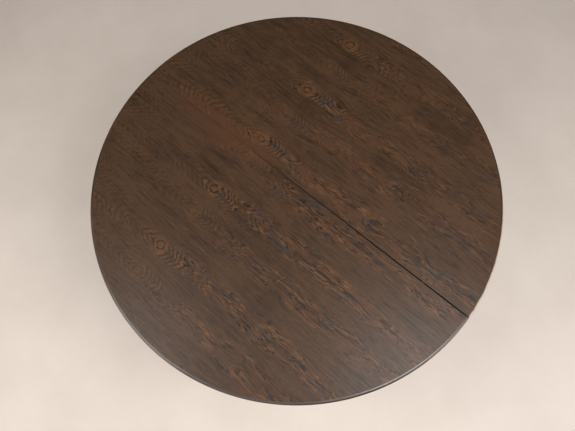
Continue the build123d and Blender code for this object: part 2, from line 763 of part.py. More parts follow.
def make_tops():
    front_slide_holes = [rail_screw_hole(x, y) for x in front_rail_places.values() for y in rail_screw_ys]
    front_slide_holes += rack_screw_holes()
    front_pins = [pin_hole(x, -26.5, 5, 5 + slop) for x in pin_places]
    back_pins = [pin_hole(x, -5, gap_at(x) + 21, 7 + slop) for x in pin_places]
    make_half("front", front_region, front_pins, front_slide_holes + lock_holes(front_lock_screw_places))
    back_holes = [half_turn(hole) for hole in front_slide_holes] + lock_holes(back_lock_screw_places)
    make_half("back", back_region, back_pins, back_holes)


os.makedirs("parts", exist_ok=True)
make_foot()
make_glides()
make_column()
make_tie_rod()
make_head_beam()
make_bearer("bearer_front", -bearer_y)
make_bearer("bearer_back", bearer_y)
make_bearer_bolts()
make_runner("runner_left", -runner_x)
make_runner("runner_right", runner_x)
make_runner_screws()
make_bridge()
make_pinion()
make_spindle()
make_slides()
make_tops()
make_pins()
make_locks()
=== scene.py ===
import math

import bpy
from mathutils import Matrix, Vector


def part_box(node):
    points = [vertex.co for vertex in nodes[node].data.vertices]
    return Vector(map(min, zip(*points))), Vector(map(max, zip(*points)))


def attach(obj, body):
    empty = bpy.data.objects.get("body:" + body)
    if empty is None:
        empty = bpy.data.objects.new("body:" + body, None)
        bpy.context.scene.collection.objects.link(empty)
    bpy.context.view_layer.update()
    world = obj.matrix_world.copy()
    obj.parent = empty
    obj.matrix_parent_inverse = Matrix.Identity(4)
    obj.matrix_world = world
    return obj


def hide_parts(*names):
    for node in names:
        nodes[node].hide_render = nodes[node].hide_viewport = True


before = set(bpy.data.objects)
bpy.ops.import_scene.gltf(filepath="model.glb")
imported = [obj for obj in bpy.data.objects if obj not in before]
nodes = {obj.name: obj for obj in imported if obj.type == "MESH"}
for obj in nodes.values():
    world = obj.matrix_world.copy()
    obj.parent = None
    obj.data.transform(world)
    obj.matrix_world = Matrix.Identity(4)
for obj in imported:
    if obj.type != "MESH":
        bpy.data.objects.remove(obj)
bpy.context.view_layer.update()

bpy.ops.object.select_all(action="DESELECT")

# the joint between the halves runs along X, and the front half is at -Y
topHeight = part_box("front_face_veneer")[1][2]
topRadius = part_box("front_edge_band")[1][0]
print("frame loaded, top at", round(topHeight, 3), "radius", round(topRadius, 3))

camera = {
    "lens": 27.55,
    "sensor": 36,
    "tilt": 17.56,        # degrees from straight down
    "roll": -3.573,
    "swing": 43.55,       # turns the joint of the top to run down to the right
    "place": (-0.0458, -0.7932, 1.9994),  # before the swing, in units of the top's radius
    "sees": 60,
}


def makeCamera(v):
    tilt, roll = math.radians(v["tilt"]), math.radians(v["roll"])
    back = Vector((0, -math.sin(tilt), math.cos(tilt)))
    right = Vector((1, 0, 0))
    up = back.cross(right)
    rolledRight = right * math.cos(roll) + up * math.sin(roll)
    rolledUp = up * math.cos(roll) - right * math.sin(roll)
    turn = Matrix.Rotation(math.radians(v["swing"]), 3, "Z")
    facing = turn @ Matrix((rolledRight, rolledUp, back)).transposed()
    place = turn @ (Vector(v["place"]) * topRadius) + Vector((0, 0, topHeight))
    data = bpy.data.cameras.new("aboveTable")
    data.lens = v["lens"]
    data.sensor_width = v["sensor"]
    data.clip_end = v["sees"]
    cam = bpy.data.objects.new("aboveTable", data)
    bpy.context.collection.objects.link(cam)
    cam.matrix_world = Matrix.Translation(place) @ facing.to_4x4()
    bpy.context.scene.camera = cam
    print("camera at", [round(c, 3) for c in place])


makeCamera(camera)


# short ways to add the nodes that every material here uses
def plug(tree, value, socket):
    if isinstance(value, bpy.types.NodeSocket):
        tree.links.new(value, socket)
    else:
        socket.default_value = value


def mathNode(tree, operation, *values, clamp=False):
    node = tree.nodes.new("ShaderNodeMath")
    node.operation = operation
    node.use_clamp = clamp
    for i, value in enumerate(values):
        plug(tree, value, node.inputs[i])
    return node.outputs[0]


def plus(tree, a, b):
    return mathNode(tree, "ADD", a, b)


def minus(tree, a, b):
    return mathNode(tree, "SUBTRACT", a, b)


def times(tree, a, b, clamp=False):
    return mathNode(tree, "MULTIPLY", a, b, clamp=clamp)


def timesPlus(tree, a, b, c):
    return mathNode(tree, "MULTIPLY_ADD", a, b, c)


def larger(tree, a, b):
    return mathNode(tree, "MAXIMUM", a, b)


def unsigned(tree, a):
    return mathNode(tree, "ABSOLUTE", a)


# distance from two offsets: 2 measures a circle, less gives a pointed outline
def reachOf(tree, a, b, roundness=2.0):
    powers = [mathNode(tree, "POWER", value, roundness) for value in (a, b)]
    return mathNode(tree, "POWER", plus(tree, *powers), 1 / roundness)


def remap(tree, value, fromLow, fromHigh, toLow=0.0, toHigh=1.0, smooth=False):
    node = tree.nodes.new("ShaderNodeMapRange")
    node.interpolation_type = "SMOOTHSTEP" if smooth else "LINEAR"
    plug(tree, value, node.inputs["Value"])
    plug(tree, fromLow, node.inputs["From Min"])
    plug(tree, fromHigh, node.inputs["From Max"])
    plug(tree, toLow, node.inputs["To Min"])
    plug(tree, toHigh, node.inputs["To Max"])
    return node.outputs["Result"]


def noise(tree, vector, scale=1.0, detail=3.0, roughness=0.5, distortion=0.0):
    node = tree.nodes.new("ShaderNodeTexNoise")
    plug(tree, vector, node.inputs["Vector"])
    plug(tree, scale, node.inputs["Scale"])
    node.inputs["Detail"].default_value = detail
    node.inputs["Roughness"].default_value = roughness
    node.inputs["Distortion"].default_value = distortion
    return node.outputs["Fac"]


def mixColour(tree, factor, a, b):
    node = tree.nodes.new("ShaderNodeMix")
    node.data_type = "RGBA"
    plug(tree, factor, node.inputs[0])
    plug(tree, a, node.inputs[6])
    plug(tree, b, node.inputs[7])
    return node.outputs[2]


def joinXYZ(tree, x, y, z):
    node = tree.nodes.new("ShaderNodeCombineXYZ")
    for i, value in enumerate((x, y, z)):
        plug(tree, value, node.inputs[i])
    return node.outputs[0]


def splitXYZ(tree, vector):
    node = tree.nodes.new("ShaderNodeSeparateXYZ")
    plug(tree, vector, node.inputs[0])
    return list(node.outputs)


def scaled(tree, vector, factors):
    node = tree.nodes.new("ShaderNodeVectorMath")
    node.operation = "MULTIPLY"
    plug(tree, vector, node.inputs[0])
    node.inputs[1].default_value = factors
    return node.outputs[0]


# noise with its own scale along each axis
def stretched(tree, vector, factors, *settings):
    return noise(tree, scaled(tree, vector, factors), 1.0, *settings)


def surfaceNormal(tree):
    return tree.nodes.new("ShaderNodeNewGeometry").outputs["Normal"]


def newGroup(name, inputs, outputs):
    group = bpy.data.node_groups.new(name, "ShaderNodeTree")
    for label, kind, value in inputs:
        socket = group.interface.new_socket(name=label, in_out="INPUT", socket_type="NodeSocket" + kind)
        if value is not None:
            socket.default_value = value
    for label in outputs:
        group.interface.new_socket(name=label, in_out="OUTPUT", socket_type="NodeSocketFloat")
    start = group.nodes.new("NodeGroupInput")
    end = group.nodes.new("NodeGroupOutput")
    return group, start.outputs, end.inputs


def placeGroup(tree, group, **values):
    node = tree.nodes.new("ShaderNodeGroup")
    node.node_tree = group
    for name, value in values.items():
        plug(tree, value, node.inputs[name.replace("_", " ")])
    return node.outputs


def newMaterial(name):
    material = bpy.data.materials.new(name)
    material.use_nodes = True
    tree = material.node_tree
    shader = tree.nodes["Principled BSDF"]
    coords = tree.nodes.new("ShaderNodeTexCoord").outputs["Object"]
    return material, tree, shader, coords


def bumped(tree, shader, height, strength, distance):
    node = tree.nodes.new("ShaderNodeBump")
    node.inputs["Strength"].default_value = strength
    node.inputs["Distance"].default_value = distance
    tree.links.new(height, node.inputs["Height"])
    tree.links.new(node.outputs["Normal"], shader.inputs["Normal"])


def varnished(shader, look):
    shader.inputs["Specular IOR Level"].default_value = look["specular"]
    shader.inputs["Coat Weight"].default_value = look["coat"]
    shader.inputs["Coat Roughness"].default_value = look["coatRoughness"]


def dress(material, *names):
    for name in names:
        mesh = nodes[name].data
        mesh.materials.clear()
        mesh.materials.append(material)


fibre = {   # how fast each pattern changes along and across the grain, per metre
    "bendScale": (2.2, 12, 12),
    "streakScale": (9, 340, 340),
    "poreScale": (70, 1100, 1100),
    "blotchScale": (3, 14, 14),
    "lateWood": 0.78,      # where in a ring its dark part is darkest, and where it stops
    "lateWoodEnds": 0.86,
}


# growth rings, long streaks, short pores and slow blotches of a board whose grain runs along X
def makeFibreGroup(f):
    t, given, out = newGroup(
        "woodFibre",
        [("Vector", "Vector", None), ("Ring Pitch", "Float", 0.004), ("Pith Y", "Float", 0.03),
         ("Pith Z", "Float", -0.11), ("Wobble", "Float", 0.02)],
        ["Rings", "Streaks", "Pores", "Blotch"])
    bend = minus(t, stretched(t, given["Vector"], f["bendScale"], 2.0), 0.5)
    y, z = splitXYZ(t, given["Vector"])[1:]
    fromPith = reachOf(t, minus(t, y, given["Pith Y"]), minus(t, z, given["Pith Z"]))
    radius = timesPlus(t, bend, given["Wobble"], fromPith)
    phase = mathNode(t, "FRACT", mathNode(t, "DIVIDE", radius, given["Ring Pitch"]))
    rise = remap(t, phase, 0.0, f["lateWood"], 0, 1, True)
    t.links.new(times(t, rise, remap(t, phase, f["lateWoodEnds"], 1.0, 1, 0)), out["Rings"])
    t.links.new(stretched(t, given["Vector"], f["streakScale"], 3.0, 0.6), out["Streaks"])
    pores = stretched(t, given["Vector"], f["poreScale"], 1.0)
    t.links.new(remap(t, pores, 0.6, 0.72, 0, 1, True), out["Pores"])
    t.links.new(stretched(t, given["Vector"], f["blotchScale"], 3.0, 0.6), out["Blotch"])
    return t


# worn arrises: where the rounded normal leaves the true one, broken up by noise
def makeEdgeGroup():
    t, given, out = newGroup(
        "edgeWear", [("Vector", "Vector", None), ("Radius", "Float", 0.0015), ("Amount", "Float", 0.5)],
        ["Wear"])
    bevel = t.nodes.new("ShaderNodeBevel")
    bevel.samples = 4
    t.links.new(given["Radius"], bevel.inputs["Radius"])
    agreement = t.nodes.new("ShaderNodeVectorMath")
    agreement.operation = "DOT_PRODUCT"
    t.links.new(bevel.outputs["Normal"], agreement.inputs[0])
    t.links.new(surfaceNormal(t), agreement.inputs[1])
    edge = remap(t, agreement.outputs["Value"], 0.995, 0.85, 0, 1)
    rubbed = remap(t, noise(t, given["Vector"], 38.0, 4.0, 0.65), 0.38, 0.62, 0, 1, True)
    t.links.new(times(t, times(t, edge, rubbed), given["Amount"], clamp=True), out["Wear"])
    return t


# thin patchy dust, with a few specks, on faces that look up
def makeDustGroup():
    t, given, out = newGroup(
        "settledDust", [("Vector", "Vector", None), ("Amount", "Float", 0.2)], ["Dust"])
    up = splitXYZ(t, surfaceNormal(t))[2]
    patchy = remap(t, noise(t, given["Vector"], 22.0, 5.0, 0.7), 0.3, 0.75, 0.25, 1, True)
    specks = remap(t, noise(t, given["Vector"], 900.0, 1.0), 0.66, 0.74, 0, 0.6)
    facing = remap(t, up, 0.45, 0.95, 0, 1, True)
    t.links.new(times(t, times(t, facing, plus(t, patchy, specks)), given["Amount"], clamp=True), out["Dust"])
    return t


# fine lines left by tools on metal, with slow smudges and small pits
def makeBrushedGroup():
    t, given, out = newGroup(
        "toolMarks", [("Vector", "Vector", None), ("Fineness", "Float", 2600.0)], ["Lines", "Smudge", "Pits"])
    t.links.new(noise(t, scaled(t, given["Vector"], (0.03, 1, 1)), given["Fineness"], 2.0), out["Lines"])
    t.links.new(noise(t, given["Vector"], 60.0, 4.0, 0.6), out["Smudge"])
    t.links.new(remap(t, noise(t, given["Vector"], 1500.0, 1.0), 0.64, 0.7, 0, 1, True), out["Pits"])
    return t


fibreGroup = makeFibreGroup(fibre)
edgeGroup = makeEdgeGroup()
dustGroup = makeDustGroup()
brushedGroup = makeBrushedGroup()
print("shared effects built")

figure = {
    "eyeX": -0.173,           # every leaf has its eye at the same place along the joint
    "eyeAcross": 0.44,        # and this far across the leaf, in leaf widths
    "leafDepth": 0.016,       # each next leaf comes from deeper in the log
    "halfDepth": 0.05,
    "slowBend": 0.05,
    "quickShake": 0.018,
    "ringPitch": 0.0128,
    "ringRoundness": 1.25,    # the rings round the eye are pointed
    "leftStretch": 0.62,
    "rightStretch": 0.9,
    "flamesFrom": (0.07, 0.19),    # to the right of the eye, where the rings turn into flames
    "flameScale": (8.5, 62, 9),
    "flameContours": 7.5,
    "flameShake": 1.9,
    "eyeRing": 0.0112,
    "eyeRoundness": 1.8,
    "eyeHalo": (0.015, 0.031),
    "weakEye": 0.42,
    "weakLeaf": 0.85,
    "calmFrom": (0.06, 0.3),       # the flames weaken over these distances from the joint
    "bandWidth": 0.05,        # how far noise widens the ragged band of flames
    "bandEdge": 0.012,
    "leftFrom": (-0.05, -0.18),
    "leftFigure": 0.5,
    "coolScale": (13, 88, 9),
    "toneScale": (5, 34, 9),
    "streakScale": (9, 190, 12),
    "threadScale": (30, 240, 14),
    "poreScale": (70, 1300, 20),
    "redFrom": -0.52,         # warm wood beside the joint
    "redTo": -0.16,
}


# the noise that bends the growth rings, slowly and quickly
def ringBends(t, place):
    slow = minus(t, stretched(t, place, (7, 9, 9), 2.0), 0.5)
    quick = minus(t, stretched(t, place, (45, 70, 45), 3.0), 0.5)
    return slow, quick


# rings round the eye, close together, that open to chevrons on its right and end in flames
def ringWave(t, f, dx, absX, absY, flames, farRight):
    toRight = mathNode(t, "GREATER_THAN", dx, 0.0)
    along = plus(t, times(t, times(t, absX, f["rightStretch"]), toRight),
                 times(t, times(t, absX, f["leftStretch"]), minus(t, 1.0, toRight)))
    reach = reachOf(t, absY, along, f["ringRoundness"])
    nearRings = plus(t, mathNode(t, "DIVIDE", reach, f["ringPitch"]),
                     times(t, minus(t, flames, 0.5), f["flameShake"]))
    farRings = times(t, flames, f["flameContours"])
    rings = plus(t, times(t, nearRings, minus(t, 1.0, farRight)), times(t, farRings, farRight))
    return mathNode(t, "FRACT", rings)


# the eye: warm middle, thin broken ring, warm halo that is fuller on its right
def eyeMarks(t, f, place, dx, absX, absY, quick, eyeStrength):
    reach = reachOf(t, times(t, absX, 0.85), absY, f["eyeRoundness"])
    offRing = unsigned(t, minus(t, reach, f["eyeRing"]))
    ring = times(t, remap(t, offRing, 0.0012, 0.0036, 1, 0, True),
                 remap(t, noise(t, place, 80.0, 2.0), 0.38, 0.56, 0.4, 1))
    ring = times(t, ring, eyeStrength)
    halo = times(t, remap(t, reach, *f["eyeHalo"], 1, 0, True), remap(t, dx, -0.03, 0.014, 0.2, 0.95))
    halo = times(t, halo, times(t, eyeStrength, remap(t, quick, -0.12, 0.1, 0.55, 1)))
    clear = remap(t, reach, 0.018, 0.026, 0.12, 1, True)
    return ring, halo, clear


# leaves sliced from one log and opened like a book, each with a ringed eye and flames to its right
def makeFigureGroup(f):
    t, given, out = newGroup(
        "bookMatchedFigure",
        [("Vector", "Vector", None), ("Side", "Float", 1.0), ("Leaf Width", "Float", 0.11),
         ("Leaf Shift", "Float", 0.004), ("Strong Leaf", "Float", 0.0), ("Weak Flames", "Float", 0.5)],
        ["Orange", "Blue", "Dark", "Tone", "Pores", "Grain", "Red"])
    x, y = splitXYZ(t, given["Vector"])[:2]
    fromJoint = times(t, y, given["Side"])
    across = plus(t, fromJoint, given["Leaf Shift"])
    leaf = mathNode(t, "FLOOR", mathNode(t, "DIVIDE", across, given["Leaf Width"]))
    v = mathNode(t, "PINGPONG", across, given["Leaf Width"])
    depth = timesPlus(t, leaf, f["leafDepth"], times(t, given["Side"], f["halfDepth"]))
    place = joinXYZ(t, x, v, depth)

    slow, quick = ringBends(t, place)
    wobble = timesPlus(t, slow, f["slowBend"], times(t, quick, f["quickShake"]))
    middle = times(t, given["Leaf Width"], f["eyeAcross"])
    dx = timesPlus(t, quick, f["quickShake"], minus(t, x, f["eyeX"]))
    dy = plus(t, minus(t, v, middle), wobble)
    absX, absY = unsigned(t, dx), unsigned(t, dy)
    farRight = remap(t, dx, *f["flamesFrom"], 0, 1, True)
    farLeft = remap(t, dx, *f["leftFrom"], 0, 1, True)
    bentV = timesPlus(t, slow, 0.035, v)
    streaky = joinXYZ(t, x, bentV, depth)
    flames = stretched(t, streaky, f["flameScale"], 3.0, 0.55, 0.35)
    wave = ringWave(t, f, dx, absX, absY, flames, farRight)
    offLine = unsigned(t, minus(t, wave, 0.5))
    thin = remap(t, offLine, 0.05, 0.17, 1, 0, True)
    warm = remap(t, wave, 0.44, 0.16, 0, 1, True)

    # strong and weak eyes take turns, and the figure calms down towards the far rim
    turn = unsigned(t, minus(t, mathNode(t, "MODULO", leaf, 2.0), given["Strong Leaf"]))
    eyeStrength = remap(t, turn, 0, 1, 1.0, f["weakEye"])
    flameStrength = times(t, remap(t, turn, 0, 1, 1.0, f["weakLeaf"]),
                          remap(t, fromJoint, *f["calmFrom"], 1.0, given["Weak Flames"]))

    # lively zones: round the eye, in a ragged band to the right, and in patches to the left
    bandHalf = timesPlus(t, stretched(t, place, (9, 0, 9), 2.0), f["bandWidth"], -0.004)
    band = remap(t, absY, bandHalf, plus(t, bandHalf, f["bandEdge"]), 1, 0, True)
    nearEye = remap(t, unsigned(t, plus(t, dx, -0.05)), 0.07, 0.16, 1, 0, True)
    eyeZone = times(t, remap(t, absY, 0.014, 0.03, 1, 0, True), nearEye)
    rightZone = times(t, band, farRight)
    leftPatches = remap(t, stretched(t, streaky, (5, 17, 9), 2.0), 0.46, 0.6, 0.12, 1, True)
    leftZone = times(t, remap(t, absY, 0.02, 0.05, f["leftFigure"], 0.08, True),
                     times(t, farLeft, leftPatches))
    brokenUp = remap(t, stretched(t, streaky, (15, 55, 12), 2.0), 0.36, 0.54, 0.1, 1, True)
    zone = larger(t, times(t, rightZone, flameStrength), times(t, leftZone, eyeStrength))
    zone = times(t, larger(t, times(t, eyeZone, eyeStrength), zone), brokenUp)

    ring, halo, clear = eyeMarks(t, f, place, dx, absX, absY, quick, eyeStrength)
    patches = remap(t, noise(t, scaled(t, streaky, (14, 60, 9)), 1.3, 2.0), 0.46, 0.6, 0, 1, True)
    elsewhere = joinXYZ(t, x, bentV, plus(t, depth, 5.0))
    cool = remap(t, stretched(t, elsewhere, f["coolScale"], 3.0, 0.5, 0.4), 0.54, 0.63, 0, 1, True)
    orange = larger(t, times(t, timesPlus(t, warm, 0.7, times(t, patches, 0.4)), zone), halo)
    blue = times(t, cool, larger(t, zone, times(t, farLeft, 0.25)))
    core = times(t, remap(t, absY, 0.0008, 0.003, 1, 0, True),
                 times(t, rightZone, times(t, brokenUp, flameStrength)))
    outline = times(t, times(t, thin, clear), times(t, zone, 1.2, clamp=True))
    t.links.new(times(t, orange, minus(t, 1.0, blue), clamp=True), out["Orange"])
    t.links.new(blue, out["Blue"])
    t.links.new(larger(t, outline, larger(t, ring, times(t, core, 0.8))), out["Dark"])

    # quiet wood between: soft bands, faint ring lines, long thin streaks and short open pores
    t.links.new(stretched(t, streaky, f["toneScale"], 4.0, 0.6), out["Tone"])
    faint = times(t, remap(t, offLine, 0.1, 0.4, 0, 1, True), times(t, leftPatches, 0.07))
    streaks = stretched(t, streaky, f["streakScale"], 3.0, 0.65)
    threads = stretched(t, streaky, f["threadScale"], 4.0, 0.75)
    t.links.new(plus(t, timesPlus(t, streaks, 0.5, times(t, threads, 0.62)), faint), out["Grain"])
    t.links.new(remap(t, stretched(t, place, f["poreScale"], 1.0), 0.58, 0.72, 0, 1, True), out["Pores"])

    # warm wood beside the left end of the joint, and a warm glow under the flames
    besideJoint = remap(t, unsigned(t, timesPlus(t, slow, 0.09, fromJoint)), 0.02, 0.075, 1, 0, True)
    stretch = times(t, remap(t, x, f["redFrom"], f["redFrom"] + 0.14, 0, 1, True),
                    remap(t, x, f["redTo"], f["redTo"] + 0.12, 1, 0, True))
    glow = times(t, times(t, farRight, flameStrength),
                 remap(t, stretched(t, streaky, (6, 30, 9), 3.0), 0.4, 0.6, 0, 1, True))
    glow = times(t, remap(t, absY, 0.008, 0.036, 0.8, 0, True), glow)
    t.links.new(larger(t, times(t, besideJoint, stretch), glow), out["Red"])
    return t


figureGroup = makeFigureGroup(figure)

veneerLook = {
    "shade": (0.0150, 0.0080, 0.0042, 1),
    "pale": (0.0640, 0.0320, 0.0152, 1),
    "quietFrom": 0.52,        # grain values that give the shade and the pale wood
    "quietTo": 0.82,
    "orange": (0.116, 0.0515, 0.0200, 1),
    "blue": (0.0330, 0.0305, 0.0290, 1),
    "dark": (0.0060, 0.0035, 0.0025, 1),
    "red": (0.080, 0.0325, 0.0150, 1),
    "scratch": (0.22, 0.19, 0.16, 1),
    "redShare": 0.62,         # how fully each mark takes its own colour
    "blueShare": 0.8,
    "darkShare": 0.8,
    "poreShare": 0.55,
    "scratchShare": 0.7,
    "roughness": 0.42,
    "specular": 0.21,
    "coat": 0.05,
    "coatRoughness": 0.28,
    "bump": 0.0002,
}
veneerHalves = {   # scratches are start, end and half width
    "front": {"leaves": {"Side": -1.0, "Leaf_Width": 0.112, "Leaf_Shift": 0.018, "Strong_Leaf": 1.0,
                         "Weak_Flames": 0.95},
              "scratches": [((0.145, -0.255), (0.152, -0.238), 0.0004)]},
    "back": {"leaves": {"Side": 1.0, "Leaf_Width": 0.109, "Leaf_Shift": 0.004, "Strong_Leaf": 0.0,
                        "Weak_Flames": 0.5},
             "scratches": [((-0.099, 0.262), (-0.071, 0.255), 0.0008), ((-0.2, 0.281), (-0.176, 0.3), 0.0004),
                           ((0.262, 0.205), (0.291, 0.214), 0.0004)]},
}
jointGap = {
    "shut": 0.00012,      # where the halves touch
    "open": 0.003,        # at the rim on the +X side
    "opensAt": -0.17,
    "lipping": 0.004,     # how far from the joint its walls and the painted shade beside it are looked for
}


def scratchMask(t, x, y, start, end, halfWidth):
    angle = math.atan2(end[1] - start[1], end[0] - start[0])
    length = math.dist(start, end)
    right, up = minus(t, x, start[0]), minus(t, y, start[1])
    along = plus(t, times(t, right, math.cos(angle)), times(t, up, math.sin(angle)))
    off = minus(t, times(t, up, math.cos(angle)), times(t, right, math.sin(angle)))
    line = remap(t, unsigned(t, off), halfWidth * 0.5, halfWidth * 1.5, 1, 0, True)
    inside = times(t, remap(t, along, 0, length * 0.2, 0, 1), remap(t, along, length * 0.7, length, 1, 0))
    return times(t, line, inside)


# painted shade in the joint: its walls are painted nearly black, and a dark band is painted along its edges
# where it stands open, as the shade of the gap
def paintedJointShade(t, coords, v):
    x, y = splitXYZ(t, coords)[:2]
    fromLine = unsigned(t, y)
    facing = unsigned(t, splitXYZ(t, surfaceNormal(t))[1])
    nearJoint = remap(t, fromLine, v["lipping"] - 0.0004, v["lipping"] + 0.0002, 1, 0)
    # painted shade on the walls that face across the joint
    wallShade = times(t, remap(t, facing, 0.5, 0.9, 0, 0.95), nearJoint)
    standsOff = remap(t, x, v["opensAt"], topRadius, 0, v["open"])    # the back half's edge
    onBack = mathNode(t, "GREATER_THAN", y, 0.0)
    fromEdge = minus(t, fromLine, times(t, standsOff, onBack))
    # painted shade of the open gap, along the edge of the back half where it stands off
    openGapShade = times(t, remap(t, fromEdge, 0.0006, 0.0016, 0.95, 0, True), remap(t, x, -0.24, -0.06, 0, 1, True))
    return larger(t, wallShade, openGapShade)


def makeVeneer(side, look, half):
    material, t, shader, coords = newMaterial(side + "Veneer")
    wood = placeGroup(t, figureGroup, Vector=coords, **half["leaves"])
    quiet = timesPlus(t, wood["Grain"], 0.95, times(t, wood["Tone"], 0.4))
    colour = mixColour(t, remap(t, quiet, look["quietFrom"], look["quietTo"]), look["shade"], look["pale"])
    colour = mixColour(t, times(t, wood["Red"], look["redShare"]), colour, look["red"])
    colour = mixColour(t, wood["Orange"], colour, look["orange"])
    colour = mixColour(t, times(t, wood["Blue"], look["blueShare"]), colour, look["blue"])
    colour = mixColour(t, times(t, wood["Dark"], look["darkShare"]), colour, look["dark"])
    colour = mixColour(t, times(t, wood["Pores"], look["poreShare"]), colour, look["dark"])
    # painted shade on the joint's walls and beside its open gap, in the dark colour
    colour = mixColour(t, paintedJointShade(t, coords, jointGap), colour, look["dark"])
    x, y = splitXYZ(t, coords)[:2]
    rubbed = 0.0
    for start, end, halfWidth in half["scratches"]:
        rubbed = larger(t, rubbed, scratchMask(t, x, y, start, end, halfWidth))
    colour = mixColour(t, times(t, rubbed, look["scratchShare"]), colour, look["scratch"])
    t.links.new(colour, shader.inputs["Base Color"])
    t.links.new(timesPlus(t, wood["Tone"], 0.14, look["roughness"] - 0.07), shader.inputs["Roughness"])
    varnished(shader, look)
    bumped(t, shader, minus(t, times(t, wood["Grain"], 0.3), wood["Pores"]), 0.3, look["bump"])
    return material


for side, half in veneerHalves.items():
    dress(makeVeneer(side, veneerLook, half), side + "_face_veneer", side + "_joint_lipping")
print("face veneers dressed")

darkWoodLook = {
    "shade": (0.0150, 0.0078, 0.0042, 1),
    "pale": (0.084, 0.0410, 0.0195, 1),
    "poreAndGapShade": (0.006, 0.0035, 0.0025, 1),
    "worn": (0.150, 0.082, 0.042, 1),
    "dustColour": (0.30, 0.27, 0.23, 1),
    "ringPitch": 0.0078,
    "wobble": 0.035,
    "pores": 0.5,
    "wear": 0.55,
    "wearRadius": 0.0016,
    "dust": 0.12,
    "roughness": 0.40,
    "specular": 0.35,
    "coat": 0.12,
    "coatRoughness": 0.25,
    "bump": 0.00025,
}
beechLook = {
    "shade": (0.33, 0.185, 0.092, 1),
    "pale": (0.50, 0.315, 0.170, 1),
    "poreAndGapShade": (0.22, 0.105, 0.050, 1),
    "worn": (0.58, 0.42, 0.26, 1),
    "dustColour": (0.42, 0.38, 0.33, 1),
    "ringPitch": 0.0068,
    "wobble": 0.02,
    "pores": 0.75,
    "wear": 0.4,
    "wearRadius": 0.0012,
    "dust": 0.18,
    "roughness": 0.52,
    "specular": 0.4,
    "coat": 0.0,
    "coatRoughness": 0.3,
    "bump": 0.00012,
}
backingLook = dict(
    darkWoodLook, shade=(0.075, 0.042, 0.022, 1), pale=(0.150, 0.088, 0.047, 1),
    poreAndGapShade=(0.040, 0.021, 0.012, 1), ringPitch=0.011, wobble=0.11, wear=0.0, dust=0.0, coat=0.0, roughness=0.5)
frontRimLook = dict(
    darkWoodLook, shade=(0.016, 0.0085, 0.0046, 1), pale=(0.062, 0.0310, 0.0150, 1), wear=0.45,
    wearRadius=0.0006, dust=0.0, specular=0.4, coat=0.45, coatRoughness=0.24)
backRimLook = dict(frontRimLook, coat=0.2, specular=0.3, arrisWear=0.85, bare=(0.42, 0.255, 0.165, 1))
woodMix = {   # what makes solid wood paler or darker, and the values that give the shade and the pale wood
    "rings": -0.27,
    "streaks": 0.85,
    "blotch": 0.6,
    "shadeAt": 0.34,
    "paleAt": 0.86,
}


def turnedTo(t, coords, axis):
    parts = splitXYZ(t, coords)
    return joinXYZ(t, parts[axis], parts[(axis + 1) % 3], parts[(axis + 2) % 3])


def wrappedRound(t, coords, radius):
    x, y, z = splitXYZ(t, coords)
    angle = mathNode(t, "ARCTAN2", y, x)
    return joinXYZ(t, times(t, angle, radius), reachOf(t, x, y), z)


# boards glued side by side: every board has its own place in the tree
def gluedUp(t, vector, boardWidth):
    along, across, up = splitXYZ(t, vector)
    board = mathNode(t, "DIVIDE", plus(t, across, boardWidth * 0.5), boardWidth)
    board = mathNode(t, "FLOOR", board)
    return joinXYZ(t, timesPlus(t, board, 3.7, along), timesPlus(t, board, 0.043, across),
                   timesPlus(t, board, 0.029, up))


# stain rubbed through along the rounded upper arris, on the right of the table
def wornArris(t, coords, amount):
    up = splitXYZ(t, surfaceNormal(t))[2]
    rounded = times(t, remap(t, up, 0.1, 0.4, 0, 1, True), remap(t, up, 0.85, 0.99, 1, 0, True))
    patchy = remap(t, noise(t, coords, 26.0, 4.0, 0.6), 0.32, 0.52, 0.35, 1, True)
    onRight = remap(t, splitXYZ(t, coords)[0], 0.44, 0.57, 0, 1, True)
    return times(t, times(t, rounded, patchy), times(t, onRight, amount))


def makeWood(name, look, axis=0, wrapRadius=None, boardWidth=None, pith=(0.03, -0.11), seed=0.0,
             jointShade=False):
    material, t, shader, coords = newMaterial(name)
    vector = turnedTo(t, coords, axis) if wrapRadius is None else wrappedRound(t, coords, wrapRadius)
    if boardWidth:
        vector = gluedUp(t, vector, boardWidth)
    mapping = t.nodes.new("ShaderNodeMapping")
    mapping.inputs["Location"].default_value = (seed, seed * 0.013, seed * 0.007)
    t.links.new(vector, mapping.inputs["Vector"])
    grain = placeGroup(t, fibreGroup, Vector=mapping.outputs[0], Ring_Pitch=look["ringPitch"],
                       Pith_Y=pith[0], Pith_Z=pith[1], Wobble=look["wobble"])
    quiet = timesPlus(t, grain["Streaks"], woodMix["streaks"], times(t, grain["Blotch"], woodMix["blotch"]))
    quiet = plus(t, times(t, grain["Rings"], woodMix["rings"]), quiet)
    quiet = remap(t, quiet, woodMix["shadeAt"], woodMix["paleAt"])
    colour = mixColour(t, quiet, look["shade"], look["pale"])
    colour = mixColour(t, times(t, grain["Pores"], look["pores"]), colour, look["poreAndGapShade"])
    rough = timesPlus(t, grain["Blotch"], 0.16, look["roughness"] - 0.08)
    if look["wear"]:
        wear = placeGroup(t, edgeGroup, Vector=coords, Radius=look["wearRadius"], Amount=look["wear"])["Wear"]
        colour = mixColour(t, wear, colour, look["worn"])
    if look["dust"]:
        dust = placeGroup(t, dustGroup, Vector=coords, Amount=look["dust"])["Dust"]
        colour = mixColour(t, dust, colour, look["dustColour"])
        rough = timesPlus(t, dust, 0.5, rough)
    if "arrisWear" in look:
        colour = mixColour(t, wornArris(t, coords, look["arrisWear"]), colour, look["bare"])
    # painted shade on the joint's walls and beside its open gap, in the dark pore colour
    if jointShade:
        colour = mixColour(t, paintedJointShade(t, coords, jointGap), colour, look["poreAndGapShade"])
    t.links.new(colour, shader.inputs["Base Color"])
    t.links.new(rough, shader.inputs["Roughness"])
    varnished(shader, look)
    bumped(t, shader, minus(t, times(t, grain["Streaks"], 0.5), grain["Pores"]), 0.35, look["bump"])
    return material


def longestAxis(name):
    low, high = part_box(name)
    return max(range(3), key=lambda i: high[i] - low[i])


